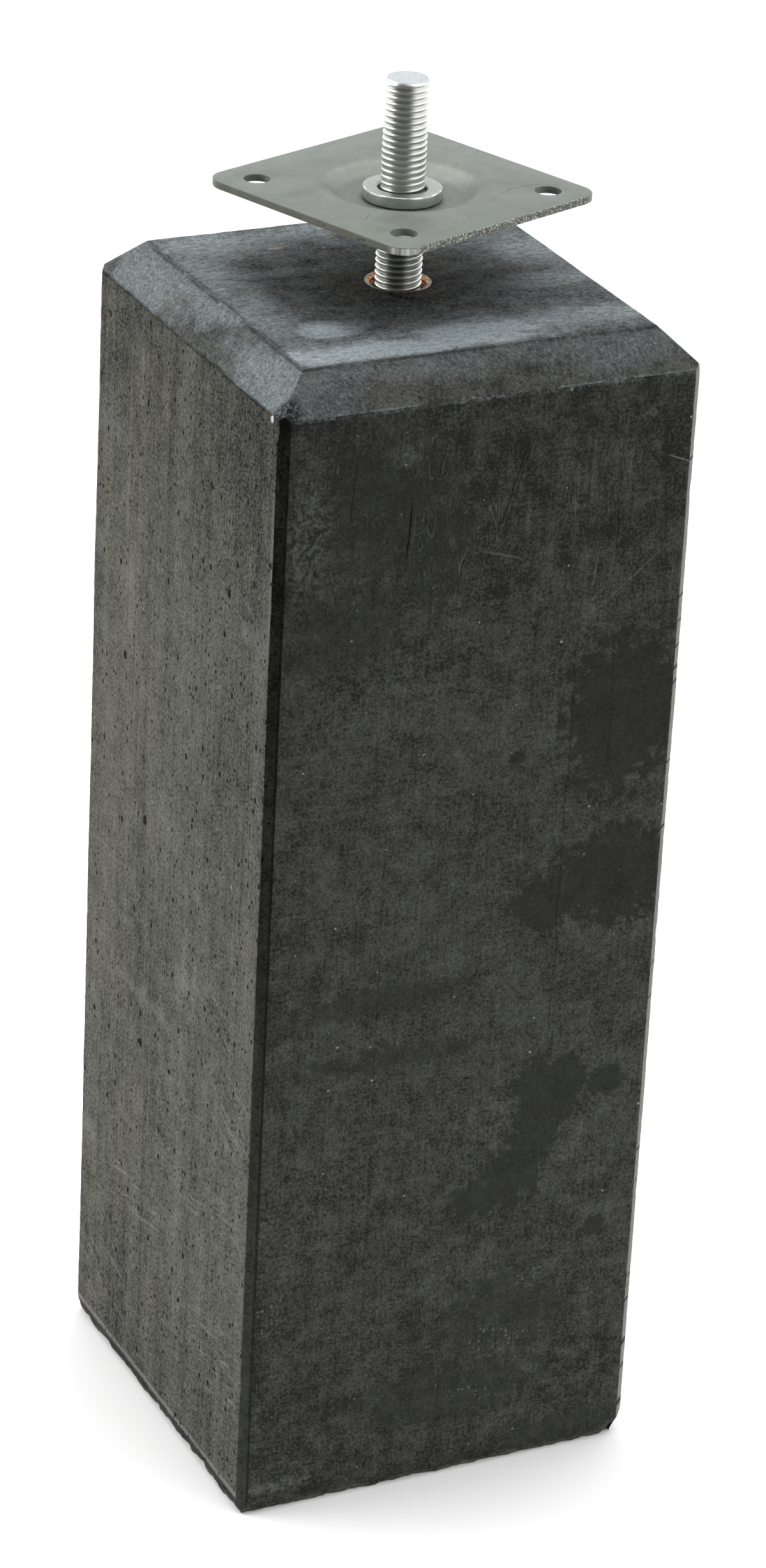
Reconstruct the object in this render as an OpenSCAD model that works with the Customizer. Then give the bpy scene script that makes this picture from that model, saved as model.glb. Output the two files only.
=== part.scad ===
// Concrete post base block with a height-adjustable post plate.
// Millimetres, +Z up, origin at the centre of the block's underside.

/* [Block] */
// Side of the square concrete block
block_w = 180; // [150:1:240]
// Height of the concrete block
block_h = 500; // [300:5:900]
// Height and width of the 45 degree chamfer round the top
top_chamfer = 15; // [5:1:22]
// Height of the steep bevel round the foot
foot_bevel_h = 7; // [2:0.5:20]
// Width of the steep bevel round the foot
foot_bevel_w = 2.5; // [0.5:0.5:10]
// Width of the small chamfer down each upright corner
corner_chamfer = 4; // [1:0.5:10]

/* [Threaded rod] */
// Outside diameter of the rod, over the crests of an M20 thread
rod_d = 19.5; // [16:0.1:24]
// How far the rod stands out of the block
rod_out = 83; // [75:1:140]
// How far the rod goes down into the socket
rod_in = 75; // [40:1:150]
// Chamfer on each end of the rod
rod_chamfer = 1.2; // [0.5:0.1:2]

/* [Cast-in socket] */
// Wall of the threaded socket
socket_wall = 3.2; // [2.5:0.1:6]
// Thickness of the socket's closed bottom
socket_floor = 5; // [3:0.5:12]
// Flat rim left round the countersunk mouth
mouth_rim = 1.1; // [0.5:0.1:2]
// Depth of the countersink
mouth_depth = 4; // [2:0.5:8]

/* [Post plate] */
// Side of the square plate
plate_w = 110; // [100:1:160]
// Thickness of the plate
plate_t = 3; // [2:0.5:6]
// Radius of the plate's corners
plate_corner_r = 9.5; // [4:0.5:12]
// Height of the plate's top above the block
plate_lift = 39.6; // [37:0.1:46]
// How far the plate is turned about the rod
plate_turn = 20; // [0:1:360]
// Diameter of each screw hole
hole_d = 10.5; // [6:0.5:12]
// Distance from each hole's centre to the two nearest edges
hole_inset = 15; // [9:0.5:18]

/* [Pressed dish in the plate] */
// Depth of the dish
dish_depth = 5.4; // [2:0.1:6]
// Flat floor left round the collar
dish_floor_w = 6; // [2:0.5:7]
// Width of the sloping wall
dish_wall_w = 11; // [9:0.5:12]

/* [Height nut] */
// Wall of the neck that passes through the plate
neck_wall = 2.75; // [2:0.25:5]
// How far the round collar above the plate reaches out past the neck
collar_lip = 2.8; // [1.5:0.1:5]
// Thickness of the collar
collar_t = 4.7; // [3:0.1:6]
// How far each flat of the hexagon under the plate stands out past the neck
hex_shoulder = 2.2; // [1.5:0.1:5]
// Height of the hexagon
hex_h = 13; // [10:0.5:16]
// How far the hexagon's lower corners are turned back, measured out from its flats
hex_chamfer = 0.8; // [0.3:0.1:2]
// Width of the countersink at the top of the nut's bore
nut_mouth = 1; // [0.5:0.1:1.8]

/* [Clearances] */
// Radial clearance between the rod and what is threaded on or round it
thread_gap = 0.3; // [0.15:0.05:0.5]
// Radial and upward clearance that lets the plate turn on the nut
turn_gap = 0.3; // [0.2:0.05:0.5]

/* [Hidden] */
$fn = 96;
cut = 1;

// Socket, from the rod it holds
bore_d = rod_d + 2 * thread_gap;
socket_d = bore_d + 2 * socket_wall;
socket_depth = rod_in + socket_floor;

// Heights of the plate, the dish and the nut
plate_top = block_h + plate_lift;
floor_top = plate_top - dish_depth;
seat_z = floor_top - plate_t;
collar_z = floor_top + turn_gap;
nut_bottom = seat_z - hex_h;
nut_top = collar_z + collar_t;

// Widths of the nut, worked outwards from the rod
neck_d = bore_d + 2 * neck_wall;
collar_d = neck_d + 2 * collar_lip;
hex_af = neck_d + 2 * hex_shoulder;

// Plan of the plate, its dish worked outwards from the collar
hole_spacing = plate_w - 2 * hole_inset;
plate_bore_d = neck_d + 2 * turn_gap;
dish_r1 = collar_d / 2 + dish_floor_w;
dish_r2 = dish_r1 + dish_wall_w;
wall_steps = 12;

// A bar with a square plan, its four upright corners chamfered
module square_bar(w, c, h) {
    a = w / 2;
    linear_extrude(h)
        polygon([[a - c, -a], [a, c - a], [a, a - c], [a - c, a], [c - a, a], [-a, a - c], [-a, c - a], [c - a, -a]]);
}

// Everything outside a bevel w wide and h high round a square end face at z = 0 that looks up
module bevel_cut(w, h) {
    for (turn = [0:90:270])
        rotate([0, 0, turn])
            translate([0, block_w / 2, 0])
                rotate([90, 0, 90])
                    linear_extrude(block_w + 2 * cut, center = true)
                        polygon([[-w, 0], [-w, cut], [cut, cut], [cut, -h], [0, -h]]);
}

module concrete_block() {
    color("dimgray")
        difference() {
            square_bar(block_w, corner_chamfer, block_h);
            translate([0, 0, block_h])
                bevel_cut(top_chamfer, top_chamfer);
            mirror([0, 0, 1])
                bevel_cut(foot_bevel_w, foot_bevel_h);
            translate([0, 0, block_h - socket_depth])
                cylinder(d = socket_d, h = socket_depth + cut);
        }
}

module threaded_socket() {
    mouth_d = socket_d - 2 * mouth_rim;
    color("peru")
        translate([0, 0, block_h - socket_depth])
            difference() {
                cylinder(d = socket_d, h = socket_depth);
                translate([0, 0, socket_floor])
                    cylinder(d = bore_d, h = socket_depth);
                translate([0, 0, socket_depth - mouth_depth])
                    cylinder(d1 = bore_d, d2 = mouth_d, h = mouth_depth);
            }
}

module threaded_rod() {
    r = rod_d / 2;
    length = rod_in + rod_out;
    color("gainsboro")
        translate([0, 0, block_h - rod_in])
            rotate_extrude()
                polygon([
                    [0, 0], [r - rod_chamfer, 0], [r, rod_chamfer],
                    [r, length - rod_chamfer], [r - rod_chamfer, length], [0, length]
                ]);
}

module height_nut() {
    hex_chamfer_r = hex_af / 2 + hex_chamfer;
    color("darkgray")
        difference() {
            union() {
                translate([0, 0, nut_bottom])
                    intersection() {
                        cylinder(d = hex_af / cos(30), h = hex_h, $fn = 6);
                        cylinder(r1 = hex_chamfer_r, r2 = hex_chamfer_r + hex_h, h = hex_h);
                    }
                translate([0, 0, nut_bottom])
                    cylinder(d = neck_d, h = nut_top - nut_bottom);
                translate([0, 0, collar_z])
                    cylinder(d = collar_d, h = collar_t);
            }
            translate([0, 0, nut_bottom - cut])
                cylinder(d = bore_d, h = nut_top - nut_bottom + 2 * cut);
            translate([0, 0, nut_top - nut_mouth])
                cylinder(d1 = bore_d, d2 = bore_d + 2 * nut_mouth, h = nut_mouth);
        }
}

// Smooth S-shaped fall of the dish wall: 0 at the dish floor, 1 at the plate
function wall_rise(t) = (1 - cos(180 * t)) / 2;

// Section of the dish from its bore to past its rim, at a given height of the upper side
function dish_line(top) = concat(
    [[plate_bore_d / 2, top - dish_depth], [dish_r1, top - dish_depth]],
    [for (i = [1:wall_steps]) [dish_r1 + dish_wall_w * i / wall_steps, top - dish_depth * (1 - wall_rise(i / wall_steps))]]
);

function reversed(list) = [for (i = [len(list) - 1:-1:0]) list[i]];

module plate_outline() {
    flat = plate_w - 2 * plate_corner_r;
    square([plate_w, flat], center = true);
    square([flat, plate_w], center = true);
    for (x = [-1, 1], y = [-1, 1])
        translate([x * flat / 2, y * flat / 2])
            circle(plate_corner_r);
}

module post_plate() {
    color("silver")
        rotate([0, 0, plate_turn]) {
            difference() {
                translate([0, 0, plate_top - plate_t])
                    linear_extrude(plate_t)
                        plate_outline();
                translate([0, 0, plate_top - plate_t - cut])
                    cylinder(r = dish_r2, h = plate_t + 2 * cut);
                for (x = [-1, 1], y = [-1, 1])
                    translate([x * hole_spacing / 2, y * hole_spacing / 2, plate_top - plate_t - cut])
                        cylinder(d = hole_d, h = plate_t + 2 * cut);
            }
            rotate_extrude()
                polygon(concat(dish_line(plate_top), reversed(dish_line(plate_top - plate_t))));
        }
}

concrete_block();
threaded_socket();
threaded_rod();
height_nut();
post_plate();
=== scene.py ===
"""Looks, light and camera for the concrete post base block with its adjustable steel plate.

Meshes are modelled in millimetres and made metres when they are finished.
The block's faces look along -X (the paler, streaked one), -Y (the dark, smooth one), +X and +Y.
"""
import math

import bmesh
import bpy
from mathutils import Matrix, Vector, noise


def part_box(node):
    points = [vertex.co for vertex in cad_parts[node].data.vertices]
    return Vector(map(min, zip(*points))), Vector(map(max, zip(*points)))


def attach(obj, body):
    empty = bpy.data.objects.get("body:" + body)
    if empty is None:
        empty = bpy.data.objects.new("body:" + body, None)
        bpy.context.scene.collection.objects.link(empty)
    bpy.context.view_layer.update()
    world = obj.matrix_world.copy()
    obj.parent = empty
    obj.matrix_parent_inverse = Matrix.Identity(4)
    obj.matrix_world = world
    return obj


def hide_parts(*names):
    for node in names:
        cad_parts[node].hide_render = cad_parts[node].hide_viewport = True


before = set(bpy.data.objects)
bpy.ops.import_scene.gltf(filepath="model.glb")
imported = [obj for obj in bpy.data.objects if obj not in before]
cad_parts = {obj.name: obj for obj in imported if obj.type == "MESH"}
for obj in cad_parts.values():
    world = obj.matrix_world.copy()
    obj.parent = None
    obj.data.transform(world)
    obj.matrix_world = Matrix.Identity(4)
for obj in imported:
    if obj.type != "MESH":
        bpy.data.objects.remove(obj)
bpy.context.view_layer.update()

# ---------------------------------------------------------------- sizes, in millimetres
MM = 0.001


def box_mm(node):
    low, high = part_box(node)
    return low / MM, high / MM


_, block_high = box_mm("concrete_block")
socket_low, socket_high = box_mm("threaded_socket")
rod_low, rod_high = box_mm("threaded_rod")
nut_low, nut_high = box_mm("height_nut")
plate_low, plate_high = box_mm("post_plate")

HALF = block_high.x
TOP = block_high.z
TOP_CHAMFER = 15.0
CORNER_CHAMFER = 4.0
FOOT_W, FOOT_H = 2.5, 7.0
SHOULDER = TOP - TOP_CHAMFER      # height where the upright faces end
RIM = HALF - TOP_CHAMFER          # where the flat top ends
GRID = 2.0                        # mesh width across the block
GRID_UP = 3.0                     # mesh height up the block
ARRIS_ROUND = 0.5
SHEET_ROUND = 0.3
COLLAR_ROUND = 0.6
TEAR_DEPTH = 0.42

ROD_R = rod_high.x
PITCH = 2.5
CREST_LOW, DEPTH_LOW = 9.35, 1.0      # full thread, seen under the plate
CREST_HIGH, DEPTH_HIGH = 8.75, 0.30   # flattened thread, above the nut
ROD_END_R = 7.9

SOCKET_R = socket_high.x
MOUTH_RIM = 1.1
MOUTH_DEPTH = 4.0
BORE_R = 9.55                     # of nut and socket, just clear of the thread's crests

PLATE_TOP = plate_high.z
PLATE_T = 3.0
PLATE_HALF = 55.0
PLATE_CORNER_R = 9.5
PLATE_TURN = math.radians(20)
HOLE_R = 5.25
HOLE_AT = 40.0
DISH_DEPTH = PLATE_TOP - PLATE_T - plate_low.z
COLLAR_R = nut_high.y
COLLAR_T = 4.7
DISH_R1 = COLLAR_R + 6.0
DISH_R2 = DISH_R1 + 11.0
NECK_R = ROD_R + 3.05
HEX_H = 13.0
HEX_FLAT = NECK_R + 2.2
TURN_GAP = 0.3


# ---------------------------------------------------------------- shader sums
class Num:
    """A number that varies over a surface. A sum on it adds the Math nodes that work it out."""

    def __init__(self, nodes, socket):
        self.nodes, self.socket = nodes, socket

    def __add__(self, other):
        return self.nodes.math("ADD", self, other)

    def __sub__(self, other):
        return self.nodes.math("SUBTRACT", self, other)

    def __rsub__(self, other):
        return self.nodes.math("SUBTRACT", other, self)

    def __mul__(self, other):
        return self.nodes.math("MULTIPLY", self, other)

    def __truediv__(self, other):
        return self.nodes.math("DIVIDE", self, other)

    def __pow__(self, other):
        return self.nodes.math("POWER", self, other)

    def __neg__(self):
        return self.nodes.math("MULTIPLY", self, -1.0)

    def __abs__(self):
        return self.nodes.math("ABSOLUTE", self)

    __radd__, __rmul__ = __add__, __mul__


class Nodes:
    """A node tree that is built by plain sums and calls."""

    def __init__(self, tree):
        self.tree = tree
        tree.nodes.clear()

    def add(self, kind, settings=None, inputs=None):
        node = self.tree.nodes.new(kind)
        for key, value in (settings or {}).items():
            setattr(node, key, value)
        for key, value in (inputs or {}).items():
            value = value.socket if isinstance(value, Num) else value
            if isinstance(value, bpy.types.NodeSocket):
                self.tree.links.new(value, node.inputs[key])
            else:
                node.inputs[key].default_value = value
        return node

    def math(self, operation, *values):
        node = self.add("ShaderNodeMath", {"operation": operation}, dict(enumerate(values)))
        return Num(self, node.outputs[0])

    def parts(self, vector):
        """The three numbers of a vector or a colour."""
        split = self.add("ShaderNodeSeparateXYZ", None, {0: vector})
        return [Num(self, socket) for socket in split.outputs]

    def step(self, value, low, high):
        """0 at low, 1 at high and smooth between them; low may be the larger."""
        if low > high:
            return 1 - self.step(value, high, low)
        made = self.add("ShaderNodeMapRange", {"interpolation_type": "SMOOTHSTEP"},
                        {"Value": value, "From Min": low, "From Max": high})
        return Num(self, made.outputs["Result"])

    def band(self, value, low, high, soft):
        """1 between low and high, with soft ends."""
        rise = self.step(value, low - soft, low + soft)
        return rise * self.step(value, high + soft, high - soft)

    def most(self, *values):
        """The largest of several numbers."""
        top = values[0]
        for value in values[1:]:
            top = self.math("MAXIMUM", top, value)
        return top


class Look(Nodes):
    """A material whose pattern is worked out from places in millimetres."""

    def __init__(self, name):
        self.material = bpy.data.materials.new(name)
        self.material.use_nodes = True
        super().__init__(self.material.node_tree)
        coords = self.add("ShaderNodeTexCoord")
        scaled = self.add("ShaderNodeVectorMath", {"operation": "SCALE"},
                          {0: coords.outputs["Object"], "Scale": 1 / MM})
        self.place = scaled.outputs[0]
        self.x, self.y, self.z = self.parts(self.place)

    def grid(self, sizes, shift=(0, 0, 0), tilt=(0, 0, 0)):
        """Places counted in sizes, one for all directions or one each, after a shift and a tilt."""
        sizes = sizes if isinstance(sizes, tuple) else (sizes,) * 3
        made = self.add("ShaderNodeMapping", {"vector_type": "TEXTURE"},
                        {"Vector": self.place, "Location": shift, "Scale": sizes,
                         "Rotation": tuple(math.radians(t) for t in tilt)})
        return made.outputs[0]

    def cloud(self, sizes, detail=3.0, rough=0.55, shift=(0, 0, 0), tilt=(0, 0, 0), swirl=0.0):
        """Cloudy noise from 0 to 1 about 0.5."""
        made = self.add("ShaderNodeTexNoise", None,
                        {"Vector": self.grid(sizes, shift, tilt), "Scale": 1.0, "Detail": detail,
                         "Roughness": rough, "Distortion": swirl})
        return Num(self, made.outputs["Fac"])

    def sway(self, gain, *args, **more):
        """Cloudy noise about 0, times a gain."""
        return (self.cloud(*args, **more) - 0.5) * gain

    def spots(self, across, up, spacing, radius, share, tall=1.4):
        """1 inside small upright spots on a face, in a share of the places of a loose grid."""
        place = self.add("ShaderNodeCombineXYZ", None,
                         {0: across / spacing, 1: up / (spacing * tall)})
        cells = self.add("ShaderNodeTexVoronoi", {"feature": "F1", "voronoi_dimensions": "2D"},
                         {"Vector": place.outputs[0], "Scale": 1.0})
        chance, grow, _ = self.parts(cells.outputs["Color"])
        reach = (grow ** 2 * 0.7 + 0.3) * (radius / spacing)
        inside = self.step(Num(self, cells.outputs["Distance"]) / reach, 1.15, 0.75)
        return inside * self.step(chance, 1 - share, 1.005 - share)

    def patches(self, values, places, ragged, soft=0.08):
        """1 inside any of several ellipses, whose edges are pushed about by a ragged number."""
        made = []
        for centre, radii in places:
            squares = [((v - c) / r) ** 2 for v, c, r in zip(values, centre, radii)]
            far = self.math("SQRT", sum(squares))
            made.append(self.step(far + ragged, 1 + soft, 1 - soft))
        return self.most(*made)

    def mix(self, a, b, factor):
        """Colour a where the factor is 0, and b where it is 1."""
        a, b = ((*colour, 1.0) if isinstance(colour, tuple) else colour for colour in (a, b))
        made = self.add("ShaderNodeMix", {"data_type": "RGBA", "clamp_factor": True},
                        {0: factor, 6: a, 7: b})
        return made.outputs[2]

    def shade(self, colour, times):
        """A colour made lighter or darker by a number."""
        made = self.add("ShaderNodeVectorMath", {"operation": "SCALE"}, {0: colour, "Scale": times})
        return made.outputs[0]

    def finish(self, colour, roughness, height, metallic=0.0, specular=0.5):
        """The surface itself. Height is in millimetres."""
        bump = self.add("ShaderNodeBump", None, {"Height": height, "Distance": MM, "Strength": 1.0})
        surface = self.add("ShaderNodeBsdfPrincipled", None,
                           {"Base Color": colour, "Roughness": roughness, "Metallic": metallic,
                            "Specular IOR Level": specular, "Normal": bump.outputs[0]})
        self.add("ShaderNodeOutputMaterial", None, {0: surface.outputs[0]})
        return self.material


# ---------------------------------------------------------------- concrete colours
PALE_GREY = (0.088, 0.089, 0.0755)
PINK_GREY = (0.088, 0.083, 0.072)
DARK_GREY = (0.0495, 0.0515, 0.0455)
DAMP_GREY = (0.0245, 0.026, 0.022)
DRYING_GREY = (0.0295, 0.0315, 0.0265)
BLUE_GREY = (0.073, 0.080, 0.083)
SLOPE_GREY = (0.072, 0.076, 0.072)
BROWN_GREY = (0.056, 0.057, 0.052)
RUBBED_GREY = (0.26, 0.255, 0.225)
LIME_BLOOM = (0.23, 0.262, 0.275)
# scuff colour, also used for a painted highlight on the pale side's lit edge
PALE_SCUFF_AND_HIGHLIGHT = (0.215, 0.225, 0.21)
WHITE_GRAIN = (0.50, 0.49, 0.45)
PEBBLE_TAN = (0.62, 0.58, 0.53)
SPECK_TAN = (0.30, 0.23, 0.14)
PIT_BLACK = (0.003, 0.003, 0.003)
CONCRETE_SHEEN = 0.06             # dry cement hardly shines

# ---------------------------------------------------------------- marks on the concrete
# Patches are ellipses, (centre, radii), in the two directions of their face.
PALE_SCUFFS = [((49, 366), (5, 8)), ((46, 352), (3.5, 9)), ((80, 369), (7, 5)), ((18, 187), (22, 3)),
               ((-14, 210), (7, 5)), ((82, 97), (8, 6)), ((-70, 390), (9, 4)), ((42, 455), (3, 12)),
               ((70, 425), (12, 6)), ((6, 280), (6, 14))]
FALLING_STROKES = [((-66, 186), (18, 26)), ((-70, 392), (12, 12)), ((62, 34), (34, 24)),
                   ((-40, 214), (30, 12))]
RISING_STROKES = [((-48, 122), (34, 16)), ((-62, 60), (30, 18)), ((30, 90), (34, 14))]
PEBBLE = [((-80.8, 483.4), (1.25, 1.5))]

DAMP_BLOTCHES = [((63, 343), (25, 34)), ((66, 271), (33, 22)), ((33, 262), (14, 12)),
                 ((18.5, 330.5), (3.6, 3))]
DRYING_BLOTCHES = [((43, 176), (18, 16)), ((68, 176), (9, 7)), ((37, 157), (12, 14)),
                   ((28, 139), (13, 14)), ((12, 131), (13, 8)), ((68, 107), (5, 5))]
MURKY_PATCHES = [((-62, 396), (26, 15)), ((-25, 425), (16, 26)), ((24, 74), (26, 18)),
                 ((2, 40), (40, 14)), ((-40, 232), (34, 6)), ((-30, 205), (40, 5)),
                 ((60, 10), (34, 8)), ((-44, 446), (28, 30))]
FROSTED_PATCHES = [((-77, 436), (9, 22)), ((-36, 466), (6, 5)), ((50, 392), (5, 4)),
                   ((-72, 12), (12, 2.5))]
SALTED_PATCHES = [((24, 62), (13, 9)), ((15, 38), (9, 6)), ((-79, 96), (7, 10)), ((40, 88), (8, 5))]

# Upright lines are (place along X, low end, high end, wander, lean, strength).
CRACKS = [(41, 235, 378, 5, 0.0, 0.7), (39, 200, 262, -12, 0.06, 0.4), (-38, 82, 312, 3, 0.0, 0.5),
          (58, 305, 380, 4, 0.0, 0.4), (-35, 424, 444, 3, 0.05, 2.2), (2, 424, 464, 9, 0.33, 1.2),
          (7, 432, 472, 9, 0.30, 0.9), (-60, 440, 466, 5, 0.1, 0.9), (56, 412, 452, 4, 0.0, 0.8)]
PALE_LINES = [(52, 392, 414, 5, 1.27, 1.0), (46, 398, 414, 9, 0.20, 0.7),
              (-33, 425, 440, 3, 0.05, 0.5), (60, 446, 462, 5, 0.1, 0.5)]
# Slanting scratches are (a place along X, its height, lean, low end, high end, soft ends).
NICK = (76, 451, 0.40, 77, 90, 2)
HAIRLINE = (8, 418, 0.30, -2, 14, 3)

TOP_BLOOM = [((-42, -68), (36, 8)), ((-50, -40), (11, 7)), ((12, -56), (40, 9)), ((56, -56), (26, 9)),
             ((58, -14), (22, 8)), ((66, 20), (14, 20)), ((40, 34), (20, 6)), ((-56, 62), (22, 14)),
             ((20, 66), (60, 8)), ((-66, 10), (10, 50))]
FRONT_BLOOM = [((-30, -66), (52, 9)), ((-51, -40), (10, 7)), ((6, -58), (30, 8))]
# The darker middle under the plate is partly wear and partly painted shadow of the plate; the ring close
# round the rod is more painted shadow of the plate.
WORN_AND_SHADED_MIDDLE = [((-8, 4), (46, 30)), ((26, -4), (34, 16)), ((6, 34), (48, 10))]
SHADED_ROUND_THE_ROD = [((-3, -3), (27, 24))]
TAN_SPECK = [((-30.4, 50.2), (2.8, 0.9))]
PALE_SLOPE_BLOOM = [((-74, 491), (34, 15)), ((56, 494), (28, 12)), ((20, 500), (30, 6))]
DARK_SLOPE_BLOOM = [((-78, 490), (18, 14)), ((-30, 499), (60, 6)), ((60, 497), (30, 9))]
BROKEN_CORNER = [((-88, -86), (7, 6))]


# ---------------------------------------------------------------- concrete finishes
def grain_of(look, gain=1.0):
    """The sandy mottling that all the faces share, about 0, and its finest part."""
    fine = look.cloud(1.3, detail=1, rough=1.0)
    mottle = look.sway(3.0 * gain, 10, detail=5, rough=0.85)
    return mottle + (fine - 0.5) * (2.6 * gain), fine


def concrete(look, skin, roughness, height):
    return look.finish(skin, roughness, height, specular=CONCRETE_SHEEN)


def pale_skin(look, grain, fine, broad):
    """Upright streaks, a pink cast towards +Y, and a darker top and foot."""
    y, z = look.y, look.z
    narrow = look.sway(1.1, (2.4, 2.4, 160), detail=3, rough=0.7)
    wide = look.sway(0.7, (16, 16, 400), detail=1, rough=0.5)
    tone = 1.06 + grain + (fine - 0.5) + (narrow + wide) + (broad - 0.5) * 0.9
    tone = tone - look.step(z, 380, 470) * 0.30 - look.step(z, 110, 20) * 0.22
    pink = look.step(broad, 0.50, 0.62) * look.step(y, -10, 60)
    return look.shade(look.mix(PALE_GREY, PINK_GREY, pink), tone)


def brush_strokes(look):
    """Sheaves of fine slanting strokes: some fall along Y and some rise."""
    place = (look.y, look.z)
    stroke = {"detail": 3, "rough": 0.7, "swirl": 0.3}
    falling = look.cloud((50, 30, 1.7), shift=(3, 8, 2), tilt=(20, 0, 0), **stroke)
    rising = look.cloud((50, 26, 1.7), shift=(3, 8, 9), tilt=(-14, 0, 0), **stroke)
    loose = look.sway(1.5, 16, detail=3, rough=0.7)
    return look.most(look.step(falling, 0.52, 0.66) * look.patches(place, FALLING_STROKES, loose, 0.5),
                     look.step(rising, 0.52, 0.66) * look.patches(place, RISING_STROKES, loose, 0.5))


def pale_rubs_and_highlight(look, broad):
    """Where the pale side is lighter: rubbed wipes, scuffs and strokes, a foot line, and a painted
    highlight along its lit edge.
    """
    y, z = look.y, look.z
    wipes = look.cloud((40, 34, 0.9), detail=2, rough=0.6, tilt=(-7, 0, 0), swirl=0.4)
    wipes = look.step(wipes, 0.60, 0.72) * look.step(z, 330, 240) * look.step(broad, 0.40, 0.56)
    scuffs = look.patches((y, z), PALE_SCUFFS, look.sway(5.0, 7, detail=4, rough=0.8), 0.7)
    # painted highlight along the lit upright edge beside the corner strip
    lit_edge = look.step(y, -HALF + 8, -HALF + 4.5) * look.band(z, 392, 452, 18)
    foot_line = look.band(z + look.sway(1.2, 9, detail=2, rough=0.6), FOOT_H + 0.6, FOOT_H + 2.6, 0.5)
    foot_line = foot_line * look.step(broad, 0.26, 0.40)
    return look.most(wipes * 0.22, scuffs * 0.24, lit_edge * 0.5, brush_strokes(look) * 0.42,
                     foot_line * 0.6)


def pale_holes(look, broad):
    """Pinholes of three sizes. The smallest crowd towards -Y."""
    y, z = look.y, look.z
    crowd = 0.35 + look.step(y, 60, -70) * 0.35 + look.step(broad, 0.42, 0.58) * 0.4
    tiny = look.spots(y, z, spacing=3.4, radius=0.68, share=0.46)
    fair = look.spots(y + 300, z, spacing=8, radius=1.0, share=0.36)
    big = look.spots(y + 500, z, spacing=24, radius=1.8, share=0.40)
    return look.most(tiny * (0.25 + crowd), fair, big)


def pale_side():
    """The lit side: upright streaks, level wipes, scuffs and a crowd of pinholes."""
    look = Look("concrete_pale_side")
    y, z = look.y, look.z
    grain, fine = grain_of(look, 0.75)
    broad = look.cloud((38, 38, 70), detail=3, rough=0.6)
    foot = look.step(z + look.sway(1.6, 4, detail=2, rough=0.6), FOOT_H + 0.4, FOOT_H - 0.6)
    holes = pale_holes(look, broad)
    ragged = look.sway(1.6, 5, detail=3, rough=0.7)
    # painted shade: a ragged black line in the hollow under the broken top arris
    shaded_undercut = look.band(z + ragged * 1.6, SHOULDER - 0.9, SHOULDER + 2, 0.3)
    shaded_undercut = shaded_undercut * look.step(broad + ragged * 0.2, 0.34, 0.48)
    chalk = look.spots(y + 900, z, spacing=8, radius=0.9, share=0.18)
    chalk = chalk * look.band(z, 255, 320, 12) * look.step(y, 40, 0)
    pebble = look.patches((y, z), PEBBLE, ragged * 0.25)

    skin = pale_skin(look, grain, fine, broad)
    # scuffs and rubs, with a painted highlight along the lit edge
    skin = look.mix(skin, PALE_SCUFF_AND_HIGHLIGHT, pale_rubs_and_highlight(look, broad))
    skin = look.mix(skin, DAMP_GREY, foot * (0.45 + fine * 0.6))
    # pinholes, and painted shade under the top arris
    skin = look.mix(skin, PIT_BLACK, look.most(holes * 0.96, shaded_undercut * 0.55))
    skin = look.mix(skin, WHITE_GRAIN, chalk * 0.5)
    skin = look.mix(skin, PEBBLE_TAN, pebble)
    height = fine * 0.14 - holes * 0.8 + pebble * 0.5 - shaded_undercut * 0.4
    return concrete(look, skin, 0.72 + fine * 0.2, height)


def dark_skin(look, grain, clouds, folds, high_up):
    """Clouds and a weak weave, darker near the top, along the left edge and low down."""
    x, z = look.x, look.z
    level = look.sway(0.6, (22, 22, 0.9), detail=2, rough=0.6)
    upright = look.sway(0.7, (0.9, 0.9, 46), detail=2, rough=0.6)
    tone = 1.0 + grain + (level + upright) + (clouds - 0.5) * 1.15 + (folds - 0.5) * high_up
    tone = tone - look.step(z, 350, 440) * 0.24 - look.step(x, -60, -86) * 0.10
    tone = tone - look.step(z, 360, 430) * look.step(x, 30, -40) * 0.16
    return look.shade(DARK_GREY, look.most(tone - look.step(z, 200, 30) * 0.20, 0.35))


def upright_lines(look, lines):
    """More than 0 on any of several thin, wandering lines."""
    wander = look.cloud((900, 900, 40), detail=3, rough=0.6)
    made = []
    for at, low, high, swing, lean, strength in lines:
        off = abs(look.x - at - (wander - 0.5) * swing - (look.z - low) * lean)
        made.append(look.step(off, 0.50, 0.15) * look.band(look.z, low, high, 9) * strength)
    return look.most(*made)


def slanting_line(look, at, height, lean, low, high, soft):
    """1 on a thin straight scratch."""
    off = abs(look.z - height + (look.x - at) * lean)
    return look.step(off, 0.6, 0.1) * look.band(look.x, low, high, soft)


def dark_rubs(look, ragged, dust, ridge):
    """Where the dark side is frosted, scratched or rubbed lighter."""
    x, z = look.x, look.z
    frost = look.patches((x, z), FROSTED_PATCHES, ragged * 0.9, 0.6) * dust
    foot_line = look.band(z, 11.4, 12.6, 0.5) * look.step(x, -62, -84)
    return look.most(frost * 0.32, foot_line * 0.25, ridge * 0.16, upright_lines(look, PALE_LINES) * 0.32,
                     slanting_line(look, *NICK) * 0.5, slanting_line(look, *HAIRLINE) * 0.25)


def white_grains(look, ragged):
    """Sand grains all over the dark side, and finer salt in a few places near its foot."""
    x, z = look.x, look.z
    sand = look.spots(x, z, spacing=18, radius=0.55, share=0.30, tall=1.0)
    salt = look.patches((x, z), SALTED_PATCHES, ragged * 0.6, 0.4)
    salt = salt * look.spots(x + 70, z, spacing=2.0, radius=0.8, share=0.5, tall=1.0)
    return look.most(sand * 0.6, salt * 0.15)


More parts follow.
